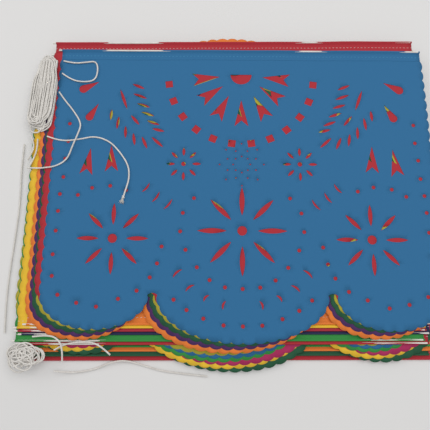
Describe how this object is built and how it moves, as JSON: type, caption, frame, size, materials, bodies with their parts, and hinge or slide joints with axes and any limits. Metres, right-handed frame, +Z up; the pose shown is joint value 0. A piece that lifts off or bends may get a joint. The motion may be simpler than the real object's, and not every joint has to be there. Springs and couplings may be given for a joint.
{
  "type": "papel picado banner",
  "caption": "Hanging banner of cut tissue panels with scalloped lobes, each hemmed over one cotton string, put away as a flat stack with the spare string bunched at two corners.",
  "frame": {"origin": "on the table under the middle of the top panel, at the underside of the lowest panel", "axes": "+X to the right along the hems, +Y towards the top panel's hem, +Z up"},
  "size_m": [0.494, 0.4075, 0.0227],
  "materials": {
    "tissue_blue": "matte dyed tissue",
    "tissue_red": "matte dyed tissue",
    "tissue_olive": "matte dyed tissue",
    "tissue_dark_green": "matte dyed tissue",
    "tissue_purple": "matte dyed tissue",
    "tissue_orange": "matte dyed tissue",
    "tissue_yellow": "matte dyed tissue",
    "tissue_crimson": "matte dyed tissue",
    "tissue_navy": "matte dyed tissue",
    "tissue_green": "matte dyed tissue",
    "tissue_magenta": "matte dyed tissue",
    "string_cotton": "soft twisted cotton"
  },
  "bodies": {
    "root": {"panel_01_blue": "tissue_blue", "panel_02_red": "tissue_red", "panel_03_olive": "tissue_olive", "panel_04_dark_green": "tissue_dark_green", "panel_05_purple": "tissue_purple", "panel_06_orange": "tissue_orange", "panel_07_orange": "tissue_orange", "panel_08_yellow": "tissue_yellow", "panel_09_crimson": "tissue_crimson", "panel_10_navy": "tissue_navy", "panel_11_green": "tissue_green", "panel_12_red": "tissue_red", "panel_13_olive": "tissue_olive", "panel_14_blue": "tissue_blue", "panel_15_green": "tissue_green", "panel_16_magenta": "tissue_magenta", "panel_17_yellow": "tissue_yellow", "panel_18_dark_green": "tissue_dark_green", "panel_19_orange": "tissue_orange", "panel_20_purple": "tissue_purple", "panel_21_green": "tissue_green", "panel_22_orange": "tissue_orange", "panel_23_dark_green": "tissue_dark_green", "panel_24_red": "tissue_red", "string_bunch_lower": "string_cotton", "string_bunch_upper": "string_cotton", "string_corner_loop": "string_cotton", "string_edge_curl": "string_cotton", "string_edge_strand": "string_cotton", "string_end_knot": "string_cotton", "string_free_strand": "string_cotton", "string_in_hems": "string_cotton", "string_long_strand": "string_cotton", "string_low_bend": "string_cotton", "string_low_end": "string_cotton", "string_low_tail": "string_cotton", "string_side_strand": "string_cotton"}
  },
  "joints": []
}
